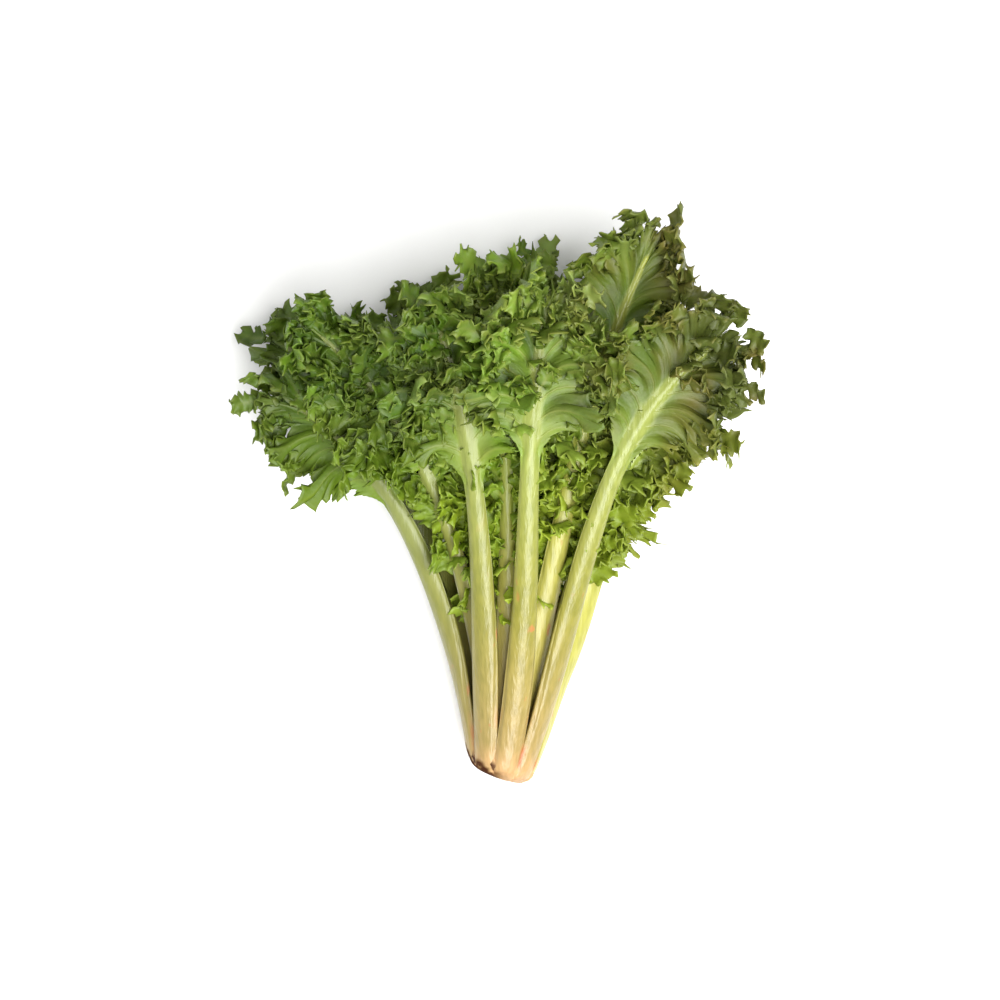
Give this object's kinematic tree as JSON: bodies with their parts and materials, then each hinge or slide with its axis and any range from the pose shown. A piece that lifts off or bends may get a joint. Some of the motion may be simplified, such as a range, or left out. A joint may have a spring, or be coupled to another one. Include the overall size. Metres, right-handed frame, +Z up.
{
  "type": "curly endive head",
  "caption": "Curly endive head lying on its side, long fleshy stalks fanning from a short cut core into ruffled, toothed green blades.",
  "frame": {"origin": "middle of the foot of the head's box, on the table it lies on", "axes": "+X to the head's right as the picture shows it, +Y from the cut butt to the leaf tips, +Z up from the table"},
  "size_m": [0.2572, 0.2928, 0.1186],
  "materials": {
    "core": "moist cut tissue, cream with a browned edge",
    "outer_leaf": "satin leaf, pale stalk and deep green ruffled blade",
    "middle_leaf": "satin leaf, pale stalk and green ruffled blade",
    "inner_leaf": "satin leaf, pale stalk and yellow-green blade",
    "heart_leaf": "satin young leaf, pale yellow-green"
  },
  "bodies": {
    "root": {"core": "core", "outer_leaf_1": "outer_leaf", "outer_leaf_2": "outer_leaf", "outer_leaf_3": "outer_leaf", "outer_leaf_4": "outer_leaf", "outer_leaf_5": "outer_leaf", "outer_leaf_6": "outer_leaf", "outer_leaf_7": "outer_leaf", "outer_leaf_8": "outer_leaf", "middle_leaf_1": "middle_leaf", "middle_leaf_2": "middle_leaf", "middle_leaf_3": "middle_leaf", "middle_leaf_4": "middle_leaf", "middle_leaf_5": "middle_leaf", "middle_leaf_6": "middle_leaf", "middle_leaf_7": "middle_leaf", "inner_leaf_1": "inner_leaf", "inner_leaf_2": "inner_leaf", "inner_leaf_3": "inner_leaf", "inner_leaf_4": "inner_leaf", "inner_leaf_5": "inner_leaf", "heart_leaf_1": "heart_leaf", "heart_leaf_2": "heart_leaf", "heart_leaf_3": "heart_leaf"}
  },
  "joints": []
}
